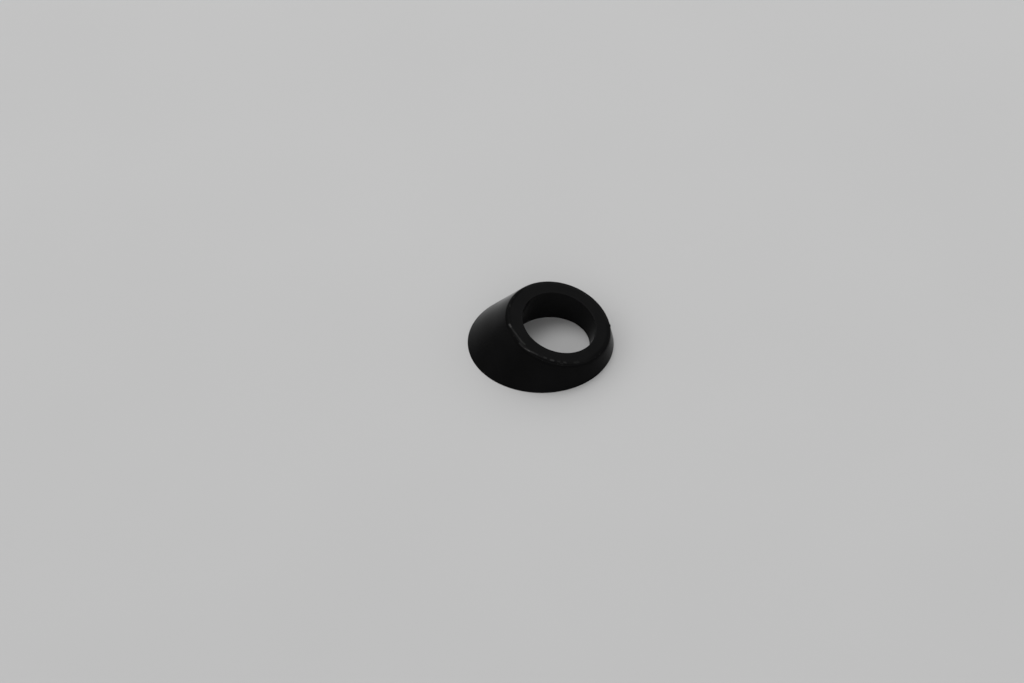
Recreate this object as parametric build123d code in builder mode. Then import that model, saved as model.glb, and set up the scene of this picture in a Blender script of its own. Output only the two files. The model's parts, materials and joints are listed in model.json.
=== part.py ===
from build123d import *
import os
from math import radians, tan

# Angled spacer for a wiper linkage, moulded as one piece.
#
# It is threaded over the housing of a wiper spindle and fills the wedge between a sloping
# panel and the spindle's nut. The section of the ring is drawn in line with the bore and
# revolved about it, so the flank is a cone round the bore. The panel then cuts that cone
# at an angle, which leaves one side of the ring tall and the other short.
#
# Origin: where the bore's axis meets the base. +Z is up, away from the panel, and the bore
# leans towards +X, the short side. Sizes are in millimetres and angles in degrees.

# Driving dimensions
bore_diameter = 16.5  # slips over an M16 threaded spindle housing
bore_lean = 16.5      # between the bore's axis and the base's normal
seat_width = 3.25     # wall between the bore and the rim's sharp corner, on the nut's seat
seat_height = 7.75    # along the bore's axis, from the base to the nut's seat
flank_angle = 25.0    # between the flank and the bore's axis
rim_radius = 0.6      # round between the seat and the flank
mouth_radius = 0.1    # broken edge where the bore opens in the seat
trim_margin = 1.0     # how far the blank runs past the base before it is trimmed

# The cone that the flank lies on
bore_radius = bore_diameter / 2
seat_radius = bore_radius + seat_width
flank_slope = tan(radians(flank_angle))
cone_radius = seat_radius + seat_height * flank_slope  # level with the origin

# How far below the origin, along the bore, the flank meets the base on the tall side
base_slope = tan(radians(bore_lean))
tall_depth = cone_radius * base_slope / (1 - flank_slope * base_slope)
blank_depth = tall_depth + trim_margin
blank_radius = cone_radius + blank_depth * flank_slope

# Workplanes: one square to the bore, and the section plane that holds the bore's axis,
# where x is the distance from the axis and y runs along it towards the seat
bore_plane = Plane.XY.rotated((0, bore_lean, 0))
section_plane = Plane(origin=bore_plane.origin, x_dir=bore_plane.x_dir, z_dir=-bore_plane.y_dir)
bore_axis = Axis(bore_plane.origin, bore_plane.z_dir)

with BuildPart() as angled_spacer:
    with BuildSketch(section_plane) as ring_section:
        with BuildLine():
            Polyline(
                (bore_radius, -blank_depth),
                (blank_radius, -blank_depth),
                (seat_radius, seat_height),
                (bore_radius, seat_height),
                close=True,
            )
        make_face()
        rim_corner = ring_section.vertices().group_by(Axis.Y)[-1].sort_by(Axis.X)[-1]
        fillet(rim_corner, radius=rim_radius)
        mouth_corner = ring_section.vertices().group_by(Axis.Y)[-1].sort_by(Axis.X)[0]
        fillet(mouth_corner, radius=mouth_radius)
    revolve(axis=bore_axis)
    # The panel's plane trims the leaning blank to its flat base
    split(bisect_by=Plane.XY, keep=Keep.TOP)

angled_spacer.part.label = "angled_spacer"

os.makedirs("parts", exist_ok=True)
export_step(angled_spacer.part, "parts/angled_spacer.step")
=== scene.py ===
import json
import math

import bpy
import numpy as np
from mathutils import Matrix, Vector


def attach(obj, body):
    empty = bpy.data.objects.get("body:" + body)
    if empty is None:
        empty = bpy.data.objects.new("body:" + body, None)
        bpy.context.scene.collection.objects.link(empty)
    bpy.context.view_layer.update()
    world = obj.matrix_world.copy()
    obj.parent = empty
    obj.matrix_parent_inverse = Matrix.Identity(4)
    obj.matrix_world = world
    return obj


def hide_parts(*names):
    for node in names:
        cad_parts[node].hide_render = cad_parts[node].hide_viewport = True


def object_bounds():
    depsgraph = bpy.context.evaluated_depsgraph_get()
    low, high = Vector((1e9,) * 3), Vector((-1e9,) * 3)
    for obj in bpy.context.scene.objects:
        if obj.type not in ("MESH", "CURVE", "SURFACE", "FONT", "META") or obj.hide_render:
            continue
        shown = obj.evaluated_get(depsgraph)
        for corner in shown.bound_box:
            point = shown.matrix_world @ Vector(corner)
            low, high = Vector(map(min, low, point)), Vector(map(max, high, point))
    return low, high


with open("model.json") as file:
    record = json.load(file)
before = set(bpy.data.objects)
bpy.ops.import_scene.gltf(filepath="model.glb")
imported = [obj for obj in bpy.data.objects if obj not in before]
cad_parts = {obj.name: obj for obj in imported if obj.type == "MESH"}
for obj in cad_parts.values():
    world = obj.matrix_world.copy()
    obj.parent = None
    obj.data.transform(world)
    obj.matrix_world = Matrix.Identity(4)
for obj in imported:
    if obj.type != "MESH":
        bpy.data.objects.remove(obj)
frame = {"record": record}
cad_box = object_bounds()

# Angled spacer of a wiper linkage: one black moulded ring, modelled as a closed mesh of rings
# round the leaning bore. Metres and radians, in the row frame.
MM = 0.001
mounts = {m["name"]: m for m in frame["record"]["mounts"]}

# ---------------------------------------------------------------------------------------------
# Shape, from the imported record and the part's own named sizes
# ---------------------------------------------------------------------------------------------
UP_BORE = -Vector(mounts["bore"]["axis"]).normalized()        # along the bore, out of the seat
BORE_RADIUS = mounts["bore"]["dims"]["r_mm"] * MM
SEAT_HEIGHT = Vector(mounts["nut_seat"]["pos_m"]).dot(UP_BORE)
SEAT_WIDTH = 3.25 * MM
FLANK_ANGLE = math.radians(25.0)
RIM_RADIUS = 0.6 * MM
MOUTH_RADIUS = 0.1 * MM
EDGE_BREAK = 0.06 * MM      # moulded edges round the base are never quite sharp
FOOT_FADE = 1.5 * MM        # the moulding's unevenness grows from none to full over this

COLUMNS = 1080
FLANK_ROWS = 16
NEAR_RIM_ROWS = 12          # closer rows, over the flank's last stretch
NEAR_RIM = 1.2 * MM
RIM_ROWS = 14
CLOSE_SEAT_ROWS = 14        # closer rows, over the seat's outer 1 mm
MOUTH_ROWS = 5

# Where a row has no distance from the rim, it gets one of these, in mm
UNDERNEATH, MOUTH, WALL = -9, 3, 6

SHORT_SIDE = Vector((UP_BORE.z, 0.0, -UP_BORE.x))             # square to the bore, towards +X
SIDEWAYS = UP_BORE.cross(SHORT_SIDE)
LEAN_SLOPE = UP_BORE.x / UP_BORE.z
FLANK_SLOPE = math.tan(FLANK_ANGLE)
SEAT_RADIUS = BORE_RADIUS + SEAT_WIDTH
CONE_RADIUS = SEAT_RADIUS + SEAT_HEIGHT * FLANK_SLOPE
RIM_CENTRE_R = SEAT_RADIUS + RIM_RADIUS * (FLANK_SLOPE - 1 / math.cos(FLANK_ANGLE))
RIM_CENTRE_S = SEAT_HEIGHT - RIM_RADIUS
RIM_ARC = RIM_RADIUS * (math.pi / 2 - FLANK_ANGLE)            # length of the round, flank to seat

# The section is drawn in (r, s): distance from the bore's axis, and height along it. It is the
# same all round but for where the base cuts it, so each row holds one value per column.
angle = np.linspace(0.0, 2 * math.pi, COLUMNS, endpoint=False)
base_rise = np.cos(angle) * LEAN_SLOPE                        # the base's slope in each section
foot_s = CONE_RADIUS * base_rise / (1 + FLANK_SLOPE * base_rise)
foot_r = CONE_RADIUS - foot_s * FLANK_SLOPE
heel_r = np.full(COLUMNS, BORE_RADIUS)
heel_s = BORE_RADIUS * base_rise
base_run = np.sqrt(1 + base_rise ** 2)

rows = []


def add_row(r, s, tilt, give, across):
    """One ring of vertices. tilt is the surface's angle from the radius, give is how much of
    the moulding's unevenness it takes, and across is its distance from the rim's inner end."""
    full = np.ones(COLUMNS)
    rows.append((r * full, s * full, tilt * full, give * full, across * full))


def round_off(corner_r, corner_s, before, after, tilt_a, tilt_b, steps):
    """Rows round a broken edge, from the side before it to the side after it."""
    for k in range(steps):
        t = k / (steps - 1)
        r = corner_r + EDGE_BREAK * ((1 - t) ** 2 * before[0] + t ** 2 * after[0])
        s = corner_s + EDGE_BREAK * ((1 - t) ** 2 * before[1] + t ** 2 * after[1])
        add_row(r, s, tilt_a + (tilt_b - tilt_a) * t, 0.0, UNDERNEATH * MM)


# Underside, from the bore outwards
for t in (0.03, 0.2, 0.4, 0.6, 0.8, 0.97):
    r = heel_r + (foot_r - heel_r) * t
    add_row(r, r * base_rise, 0.0, 0.0, UNDERNEATH * MM)
round_off(
    foot_r, foot_s,
    (-1 / base_run, -base_rise / base_run), (-math.sin(FLANK_ANGLE), math.cos(FLANK_ANGLE)),
    0.0, FLANK_ANGLE, 4,
)

# Flank, with closer rows towards the rim, where it is worn
flank_r = RIM_CENTRE_R + RIM_RADIUS * math.cos(FLANK_ANGLE)
flank_s = RIM_CENTRE_S + RIM_RADIUS * math.sin(FLANK_ANGLE)
flank_length = np.hypot(foot_r - flank_r, foot_s - flank_s)
flank_end = flank_length - 0.15 * MM


def add_flank_row(left, give):
    """A ring of vertices on the flank, at this distance below the rim."""
    add_row(
        flank_r + left * math.sin(FLANK_ANGLE), flank_s - left * math.cos(FLANK_ANGLE),
        FLANK_ANGLE, give, -RIM_ARC - left,
    )


for k in range(FLANK_ROWS):
    t = k / FLANK_ROWS
    left = flank_end * (1 - t) + NEAR_RIM * t
    add_flank_row(left, np.clip((flank_length - left) / FOOT_FADE, 0, 1))
for k in range(NEAR_RIM_ROWS):
    add_flank_row(NEAR_RIM * (1 - k / NEAR_RIM_ROWS), 1.0)

# Rim
for k in range(RIM_ROWS):
    tilt = FLANK_ANGLE + (math.pi / 2 - FLANK_ANGLE) * k / (RIM_ROWS - 1)
    add_row(
        RIM_CENTRE_R + RIM_RADIUS * math.cos(tilt), RIM_CENTRE_S + RIM_RADIUS * math.sin(tilt),
        tilt, 1.0, (tilt - math.pi / 2) * RIM_RADIUS,
    )

# Seat, with closer rows towards the rim, then wider ones to the mouth of the bore
seat_steps = [0.07 * k for k in range(1, CLOSE_SEAT_ROWS + 1)] + [1.25, 1.6, 2.0, 2.4, 2.65, 2.73]
for step in seat_steps:
    add_row(RIM_CENTRE_R - step * MM, SEAT_HEIGHT, math.pi / 2, 1.0, step * MM)

# Mouth of the bore
for k in range(MOUTH_ROWS):
    tilt = math.pi / 2 * (1 + k / (MOUTH_ROWS - 1))
    add_row(
        BORE_RADIUS + MOUTH_RADIUS * (1 + math.cos(tilt)),
        SEAT_HEIGHT - MOUTH_RADIUS * (1 - math.sin(tilt)),
        tilt, 0.0, MOUTH * MM,
    )

# Bore wall, down to the base
wall_top = SEAT_HEIGHT - MOUTH_RADIUS
for t in (0.02, 0.1, 0.2, 0.35, 0.5, 0.65, 0.8, 0.9, 0.97):
    add_row(heel_r, wall_top + (heel_s + EDGE_BREAK - wall_top) * t, math.pi, 0.0, WALL * MM)
round_off(
    heel_r, heel_s,
    (0.0, 1.0), (1 / base_run, base_rise / base_run),
    math.pi, math.pi, 3,
)

section_r, section_s, section_tilt, section_give, section_across = map(np.array, zip(*rows))
shape = section_r.shape

# ---------------------------------------------------------------------------------------------
# Wear, unevenness and a painted highlight. Angles are in degrees round the bore, from the short
# side, and distances and depths in mm. Places across the rim count from its inner end, inwards.
# ---------------------------------------------------------------------------------------------
# Strokes: path as (angle, place), half width, depth, raised lip, paleness. The last is a burr,
# which stands out, so its depth is below zero. The pale strokes along the seat's outer edge, from
# about 217 to 311 degrees, are partly wear and partly a painted highlight of the key light on the
# rim's crown.
STROKES = [
    ([(213.6, -0.29), (215.2, -0.22), (216.8, -0.18)], 0.19, 0.030, 0.010, 0.78),
    ([(217, -0.18), (221, -0.02), (226, 0.16), (235, 0.26)], 0.16, 0.014, 0.006, 0.15),
    ([(235, 0.26), (238, 0.22), (241, 0.24), (244, 0.30)], 0.18, 0.014, 0.006, 0.20),
    ([(239.5, -0.50), (241, -0.48), (244, -0.48), (248, -0.42)], 0.15, 0.016, 0.006, 0.22),
    ([(248, -0.42), (250.5, -0.34), (252.5, -0.27)], 0.14, 0.022, 0.010, 0.50),
    ([(252.2, -0.28), (253.6, -0.22)], 0.13, 0.022, 0.010, 0.85),
    ([(253.6, -0.22), (256, -0.10), (258, -0.02)], 0.17, 0.014, 0.006, 0.25),
    ([(258, -0.02), (261.5, 0.08), (263, 0.10)], 0.19, 0.010, 0.004, 0.15),
    ([(265, 0.13), (268, 0.20)], 0.19, 0.010, 0.004, 0.05),
    ([(271, 0.24), (273.5, 0.25)], 0.19, 0.016, 0.006, 0.19),
    ([(279.3, 0.24), (282.0, 0.27)], 0.23, 0.022, 0.008, 0.27),
    ([(287.8, 0.29), (289.2, 0.31)], 0.22, 0.014, 0.006, 0.10),
    ([(294.8, 0.27), (296.2, 0.28)], 0.21, 0.018, 0.006, 0.17),
    ([(307.5, 0.22), (311.5, 0.20)], 0.30, 0.010, 0.000, 0.085),
    ([(27.2, -0.55), (28.8, -0.50)], 0.24, -0.170, 0.000, 0.08),
]

# Stretches of the rim that are duller: middle, half span and fade of the angle; low edge, high
# edge and fade across the rim; dullness
DULL = [
    (188.0, 26.0, 14.0, -0.95, 0.12, 0.30, 1.00),
    (222.0, 10.0, 10.0, -0.90, -0.10, 0.20, 0.90),
    (256.0, 22.0, 12.0, -1.05, -0.66, 0.18, 1.00),
    (302.0, 22.0, 14.0, -0.93, -0.70, 0.15, 0.55),
    (0.0, 22.0, 18.0, -0.15, 0.35, 0.35, 0.75),
]

KNOCKS = 34
SWELL = 0.006           # mean depth of the moulding's long shallow swells
BLEND_SLOPE = 0.13      # most that the softened rim turns away from the plain arc
BLEND_FLANK = 0.8       # how far the softened rim runs down the flank
BLEND_SEAT = 0.75       # how far it runs in over the seat
STAND_OUT = 0.03        # how far the flank stands out, towards the rim

reach = np.broadcast_to(angle, shape)                          # angle of every vertex
across = section_across / MM
dent = np.zeros(shape)
scuff_and_highlight = np.zeros(shape)


def ease(x):
    """A smooth step, from 0 at 0 to 1 at 1."""
    x = np.clip(x, 0, 1)
    return x * x * (3 - 2 * x)


def stroke_distance(path):
    """Distance in mm of every vertex from a stroke laid on the surface."""
    best = np.full(shape, 1e3)
    for (a0, q0), (a1, q1) in zip(path, path[1:]):
        mean = math.radians((a0 + a1) / 2)
        turn = (reach - mean + math.pi) % (2 * math.pi) - math.pi
        x = turn * RIM_CENTRE_R / MM
        x0, x1 = (math.radians(a) - mean for a in (a0, a1))
        x0, x1 = x0 * RIM_CENTRE_R / MM, x1 * RIM_CENTRE_R / MM
        dx, dq = x1 - x0, q1 - q0
        t = np.clip(((x - x0) * dx + (across - q0) * dq) / (dx * dx + dq * dq), 0, 1)
        best = np.minimum(best, np.hypot(x - x0 - t * dx, across - q0 - t * dq))
    return best


chance = np.random.default_rng(7)
ripple = sum(
    chance.uniform(0.4, 1.0) * np.sin(
        reach * chance.integers(60, 260)
        + across * chance.uniform(-9, 9)
        + chance.uniform(0, 6.3)
    )
    for _ in range(9)
) / 4
# Pale marks from the strokes: wear, and along the seat's outer edge partly a painted highlight of
# the key light
for path, half_width, depth, lip, pale in STROKES:
    away = stroke_distance(path) / (half_width * (1 + 0.2 * ripple))
    dent -= depth * ease(1.15 - away)
    dent += lip * ease(1 - np.abs(away - 1.35) / 0.4)
    scuff_and_highlight = np.maximum(scuff_and_highlight, pale * ease((1.8 - away) / 1.6))

# Small knocks at random places all round the rim
for _ in range(KNOCKS):
    at = chance.uniform(0, 360)
    inwards = chance.uniform(-0.62, 0.12)
    span = chance.uniform(0.2, 1.6)
    away = stroke_distance([(at, inwards), (at + span, inwards + chance.uniform(-0.1, 0.1))])
    away = away / (chance.uniform(0.05, 0.11) * (1 + 0.25 * ripple))
    dent -= chance.uniform(0.004, 0.012) * ease(1.2 - away)
    scuff_and_highlight = np.maximum(scuff_and_highlight, chance.uniform(0.05, 0.22) * ease(1.4 - away))

# A moulding is never quite true: long shallow swells, always inwards
swell = sum(
    np.sin(reach * k + across * chance.uniform(-0.25, 0.25) + chance.uniform(0, 6.3)) / k
    for k in (2, 3, 5, 8)
)
dent -= SWELL * (1 + swell / 2)

# The rim's round blends softly into the flank and the seat. The slope is against the section,
# and its running total is the depth.
arc = RIM_ARC / MM
steps = np.linspace(-arc - BLEND_FLANK, BLEND_SEAT, 400)
slope = BLEND_SLOPE * np.where(
    steps < -arc, ((steps + arc + BLEND_FLANK) / BLEND_FLANK) ** 2,
    np.where(
        steps < 0, 1 - 2 * (steps + arc) / arc, -((BLEND_SEAT - steps) / BLEND_SEAT) ** 2
    ),
)
dent -= np.interp(across, steps, np.cumsum(slope) * (steps[1] - steps[0]))

# The flank stands out a little towards the rim
climb = np.clip(1 + (across + arc) * MM / flank_length, 0, 1)
dent += STAND_OUT * climb * np.clip(np.cos(section_tilt - FLANK_ANGLE), 0, 1) * (across < 0)
dent *= section_give * MM

# The spindle has rubbed the bore dull. The same mask makes the bore's colour lighter, which is
# painted light on the bore wall. The top of the tall side is polished: glossy all round
# it, and very smooth on the part that faces away from the near side.
bore_dull_and_painted_light = ease((across - 2.5) / 0.5)
height = (section_s * UP_BORE.z - section_r * np.cos(reach) * UP_BORE.x) / MM
turn = np.degrees(reach)
below_rim = ease((-across - 0.3) / 0.5)
polish = ease((height - 5.0) / 3.5) * below_rim * ease((-np.cos(reach) - 0.45) / 0.4)

for middle_at, half_span, fade, low, high, soft, dull in DULL:
    off = np.abs((turn - middle_at + 180) % 360 - 180)
    patch = ease((half_span + fade - off) / fade)
    patch = patch * ease((across - low + soft) / soft) * ease((high + soft - across) / soft)
    polish = polish * (1 - patch) - dull * patch
polish -= 0.75 * bore_dull_and_painted_light
sleek = ease((height - 3.5) / 3.5) * below_rim * ease(1 + polish)
sleek *= ease((turn - 140) / 20) * ease((206 - turn) / 14)

# ---------------------------------------------------------------------------------------------
# Mesh
# ---------------------------------------------------------------------------------------------
cos_a, sin_a = np.cos(reach), np.sin(reach)
out_r = section_r + dent * np.cos(section_tilt)
out_s = section_s + dent * np.sin(section_tilt)
points = sum(
    weight[..., None] * np.array(direction)
    for weight, direction in (
        (out_s, UP_BORE), (out_r * cos_a, SHORT_SIDE), (out_r * sin_a, SIDEWAYS)
    )
).reshape(-1, 3)
points[:, 2] = np.maximum(points[:, 2], cad_box[0].z)

index = np.arange(section_r.size).reshape(shape)
following = np.roll(index, -1, axis=0)
quads = np.stack(
    [index, np.roll(index, -1, axis=1), np.roll(following, -1, axis=1), following], axis=-1
).reshape(-1, 4)

ring_mesh = bpy.data.meshes.new("spacer_ring")
ring_mesh.from_pydata(points.tolist(), [], quads.tolist())
ring_mesh.polygons.foreach_set("use_smooth", np.ones(len(quads), bool))
masks = {"scuff_and_highlight": scuff_and_highlight, "bore_dull_and_painted_light": bore_dull_and_painted_light, "polish": polish, "sleek": sleek}
for name, values in masks.items():
    ring_mesh.attributes.new(name, "FLOAT", "POINT").data.foreach_set(
        "value", values.astype(np.float32).ravel()
    )
ring_mesh.update()
ring = bpy.data.objects.new("spacer_ring", ring_mesh)
bpy.context.scene.collection.objects.link(ring)


# ---------------------------------------------------------------------------------------------
# Materials
# ---------------------------------------------------------------------------------------------
def grey(value, tint=0.0):
    return (value, value, value * (1 + tint), 1.0)


class Nodes:
    """The node tree of a material or a world, with short calls to add and join its nodes."""

    def __init__(self, owner, output):
        owner.use_nodes = True
        self.owner = owner
        self.tree = owner.node_tree
        self.tree.nodes.clear()
        self.output = self.add(output)
        self.place = self.add("ShaderNodeTexCoord")

    def add(self, kind, **settings):
        node = self.tree.nodes.new(kind)
        for key, value in settings.items():
            setattr(node, key, value)
        return node

    def join(self, source, output, target, socket):
        self.tree.links.new(source.outputs[output], target.inputs[socket])

    def noise(self, size, detail=2.0, roughness=0.5):
        """Noise whose features are about size metres across."""
        node = self.add("ShaderNodeTexNoise")
        node.inputs["Scale"].default_value = 1.0 / size
        node.inputs["Detail"].default_value = detail
        node.inputs["Roughness"].default_value = roughness
        self.join(self.place, "Object", node, "Vector")
        return node

    def remap(self, source, output, low, high, to_low, to_high):
        """An output moved from one range to another, and held inside it."""
        node = self.add("ShaderNodeMapRange")
        node.inputs["From Min"].default_value = low
        node.inputs["From Max"].default_value = high
        node.inputs["To Min"].default_value = to_low
        node.inputs["To Max"].default_value = to_high
        self.join(source, output, node, "Value")
        return node

    def math(self, operation, a, b):
        """a and b are numbers, or (node, output)."""
        node = self.add("ShaderNodeMath", operation=operation)
        for socket, item in enumerate((a, b)):
            if isinstance(item, tuple):
                self.join(item[0], item[1], node, socket)
            else:
                node.inputs[socket].default_value = item
        return node

    def blend(self, factor, a, b):
        """factor is (node, output); a and b are colours, or (node, output)."""
        node = self.add("ShaderNodeMix", data_type="RGBA")
        self.join(factor[0], factor[1], node, 0)
        for socket, item in ((6, a), (7, b)):
            if isinstance(item[0], bpy.types.Node):
                self.tree.links.new(item[0].outputs[item[1]], node.inputs[socket])
            else:
                node.inputs[socket].default_value = item
        return node


def shaded(name):
    """A new material's nodes, and the shader that they lead to."""
    nodes = Nodes(bpy.data.materials.new(name), "ShaderNodeOutputMaterial")
    shader = nodes.add("ShaderNodeBsdfPrincipled")
    nodes.join(shader, "BSDF", nodes.output, "Surface")
    return nodes, shader


# Gloss: less than full, so that the black stays as deep as the photo has it
plastic, surface = shaded("black_plastic")
surface.inputs["IOR"].default_value = 1.5
polished = plastic.add("ShaderNodeAttribute", attribute_name="polish")
shine = plastic.remap(polished, "Fac", -1, 1, 0.36, 1.64)
turned = plastic.add("ShaderNodeLayerWeight")
faced = plastic.remap(turned, "Facing", 0.1, 0.6, 0.0487, 0.0348)
faced.interpolation_type = "SMOOTHSTEP"
gloss = plastic.math("MULTIPLY", (shine, "Result"), (faced, "Result"))
plastic.join(gloss, "Value", surface, "Specular IOR Level")

# Colour
mottle = plastic.noise(3.5 * MM, detail=4.0)
fine = plastic.noise(0.16 * MM, detail=3.0, roughness=0.6)
clouds = (plastic.remap(mottle, "Fac", 0.35, 0.65, 0, 1), "Result")
moulded = plastic.blend(clouds, grey(0.0031, 0.04), grey(0.0038, 0.04))
# Lighter colour in the mouth and bore: painted light on the bore wall
bore_painted_light = plastic.blend(clouds, grey(0.0068, 0.03), grey(0.0080, 0.03))
bore_painted_light_mask = plastic.add("ShaderNodeAttribute", attribute_name="bore_dull_and_painted_light")
tone = plastic.blend((bore_painted_light_mask, "Fac"), (moulded, 2), (bore_painted_light, 2))

# Pale colour of the marks: wear, and along the seat's outer edge partly a painted highlight of
# the key light
scuff_highlight_mask = plastic.add("ShaderNodeAttribute", attribute_name="scuff_and_highlight")
broken = plastic.noise(0.11 * MM, detail=3.0, roughness=0.7)
bite = plastic.remap(broken, "Fac", 0.30, 0.62, 0.35, 1.15)
scuff_and_highlight_amount = plastic.math("MULTIPLY", (scuff_highlight_mask, "Fac"), (bite, "Result"))
scuff_and_highlight_amount.use_clamp = True
colour = plastic.blend((scuff_and_highlight_amount, "Value"), (tone, 2), grey(0.075, -0.02))
plastic.join(colour, 2, surface, "Base Color")

# Roughness and grain
satin = plastic.remap(fine, "Fac", 0.3, 0.7, 0.20, 0.28)
rougher = plastic.math("MULTIPLY", (scuff_and_highlight_amount, "Value"), 0.3)
roughness = plastic.math("ADD", (satin, "Result"), (rougher, "Value"))
smooth_part = plastic.add("ShaderNodeAttribute", attribute_name="sleek")
smoother = plastic.math("MULTIPLY", (smooth_part, "Fac"), 0.14)
smoothed = plastic.math("SUBTRACT", (roughness, "Value"), (smoother, "Value"))
plastic.join(smoothed, "Value", surface, "Roughness")

grain = plastic.add("ShaderNodeBump")
grain.inputs["Strength"].default_value = 0.5
grain.inputs["Distance"].default_value = 0.004 * MM
plastic.join(fine, "Fac", grain, "Height")
plastic.join(grain, "Normal", surface, "Normal")
ring_mesh.materials.append(plastic.owner)

paper, sheet = shaded("pale_floor")
sheet.inputs["Roughness"].default_value = 0.8
sheet.inputs["Specular IOR Level"].default_value = 0.1
cloud = paper.noise(60 * MM, detail=2.0)
shade = paper.blend(
    (paper.remap(cloud, "Fac", 0.3, 0.7, 0, 1), "Result"), grey(0.512), grey(0.522)
)
paper.join(shade, 2, sheet, "Base Color")

# ---------------------------------------------------------------------------------------------
# Floor
# ---------------------------------------------------------------------------------------------
FLOOR_REACH = 4.0
FLOOR_GAP = 0.01 * MM
floor_z = cad_box[0].z - FLOOR_GAP
corners = ((-1, -1), (1, -1), (1, 1), (-1, 1))
floor_mesh = bpy.data.meshes.new("floor")
floor_mesh.from_pydata(
    [(x * FLOOR_REACH, y * FLOOR_REACH, floor_z) for x, y in corners], [], [(0, 1, 2, 3)]
)
floor_mesh.materials.append(paper.owner)
floor = bpy.data.objects.new("floor", floor_mesh)
bpy.context.scene.collection.objects.link(floor)

# ---------------------------------------------------------------------------------------------
# Camera and light
# ---------------------------------------------------------------------------------------------
VIEW_AZIMUTH = 20.72         # degrees; 0 looks along +Y, 90 along -X
VIEW_ELEVATION = 45.55
VIEW_ROLL = -2.14
VIEW_DISTANCE = 0.5472
AIM_OFFSET = Vector((-6.01 * MM, -1.76 * MM, 0.0))  # from the middle of the base to the aim

middle = (cad_box[0] + cad_box[1]) / 2
middle.z = cad_box[0].z


def backwards(azimuth, elevation):
    """Unit vector from the object towards a camera or lamp at these angles in degrees."""
    a, e = math.radians(azimuth), math.radians(elevation)
    return Vector((math.sin(a) * math.cos(e), -math.cos(a) * math.cos(e), math.sin(e)))


def facing(azimuth, elevation, roll=0.0):
    """Rotation of a camera or lamp that looks down that line."""
    return (
        Matrix.Rotation(math.radians(azimuth), 4, "Z")
        @ Matrix.Rotation(math.radians(90 - elevation), 4, "X")
        @ Matrix.Rotation(math.radians(roll), 4, "Z")
    )


camera_data = bpy.data.cameras.new("camera")
camera_data.sensor_width = 36.0
camera_data.lens = 87.89
camera_data.clip_start = 0.01
camera_data.clip_end = 20.0
camera = bpy.data.objects.new("camera", camera_data)
eye = middle + AIM_OFFSET + backwards(VIEW_AZIMUTH, VIEW_ELEVATION) * VIEW_DISTANCE
camera.matrix_world = (
    Matrix.Translation(eye) @ facing(VIEW_AZIMUTH, VIEW_ELEVATION, VIEW_ROLL)
)
bpy.context.scene.collection.objects.link(camera)
bpy.context.scene.camera = camera


def lamp(name, azimuth, elevation, distance, side, share):
    """A square soft light that gives a level white surface this share of full white."""
    data = bpy.data.lights.new(name, "AREA")
    data.shape = "SQUARE"
    data.size = side
    data.energy = share * (math.pi * distance) ** 2 / math.sin(math.radians(elevation))
    light = bpy.data.objects.new(name, data)
    light.matrix_world = (
        Matrix.Translation(middle + backwards(azimuth, elevation) * distance)
        @ facing(azimuth, elevation)
    )
    bpy.context.scene.collection.objects.link(light)


lamp("key_light", VIEW_AZIMUTH + 180, 70.5, 1.35, 0.81, 0.416)

# The sky is dark along the horizon and overhead and brightest between, and brighter on the far
# left than on the near right. A dim glow comes in low from behind the camera. The camera itself
# sees the floor's own tone.
world = bpy.data.worlds.new("studio")
bpy.context.scene.world = world
studio = Nodes(world, "ShaderNodeOutputWorld")


def aimed_at(azimuth, elevation):
    """How squarely each direction points that way: 1 straight at it, -1 straight away."""
    node = studio.add("ShaderNodeVectorMath", operation="DOT_PRODUCT")
    node.inputs[1].default_value = backwards(azimuth, elevation)
    studio.join(studio.place, "Generated", node, 0)
    return node


upwards = studio.add("ShaderNodeSeparateXYZ")
ramp = studio.add("ShaderNodeValToRGB")
ramp.color_ramp.interpolation = "EASE"
ramp.color_ramp.elements[0].color = grey(0.0)
ramp.color_ramp.elements[1].color = grey(0.10)
ramp.color_ramp.elements.new(0.51).color = grey(1.11)
slant = studio.remap(aimed_at(VIEW_AZIMUTH + 226, 0), "Value", -1, 1, 0.555, 1.445)
sky = studio.add("ShaderNodeBackground")
studio.join(studio.place, "Generated", upwards, "Vector")
studio.join(upwards, "Z", ramp, "Fac")
studio.join(ramp, "Color", sky, "Color")
studio.join(slant, "Result", sky, "Strength")

ahead = studio.math("MAXIMUM", (aimed_at(VIEW_AZIMUTH + 4, 15), "Value"), 0.0)
spread = studio.math("POWER", (ahead, "Value"), 5.0)
strength = studio.math("MULTIPLY", (spread, "Value"), 0.56)
glow = studio.add("ShaderNodeBackground")
glow.inputs["Color"].default_value = grey(1.0)
studio.join(strength, "Value", glow, "Strength")

backdrop = studio.add("ShaderNodeBackground")
backdrop.inputs["Color"].default_value = grey(0.52)
ray = studio.add("ShaderNodeLightPath")
lit = studio.add("ShaderNodeAddShader")
seen = studio.add("ShaderNodeMixShader")
studio.join(sky, "Background", lit, 0)
studio.join(glow, "Background", lit, 1)
studio.join(ray, "Is Camera Ray", seen, 0)
studio.join(lit, "Shader", seen, 1)
studio.join(backdrop, "Background", seen, 2)
studio.join(seen, "Shader", studio.output, "Surface")

bpy.context.scene.view_settings.view_transform = "Standard"

# ---------------------------------------------------------------------------------------------
# Hand-over to the frame
# ---------------------------------------------------------------------------------------------
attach(ring, "root")
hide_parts("angled_spacer")
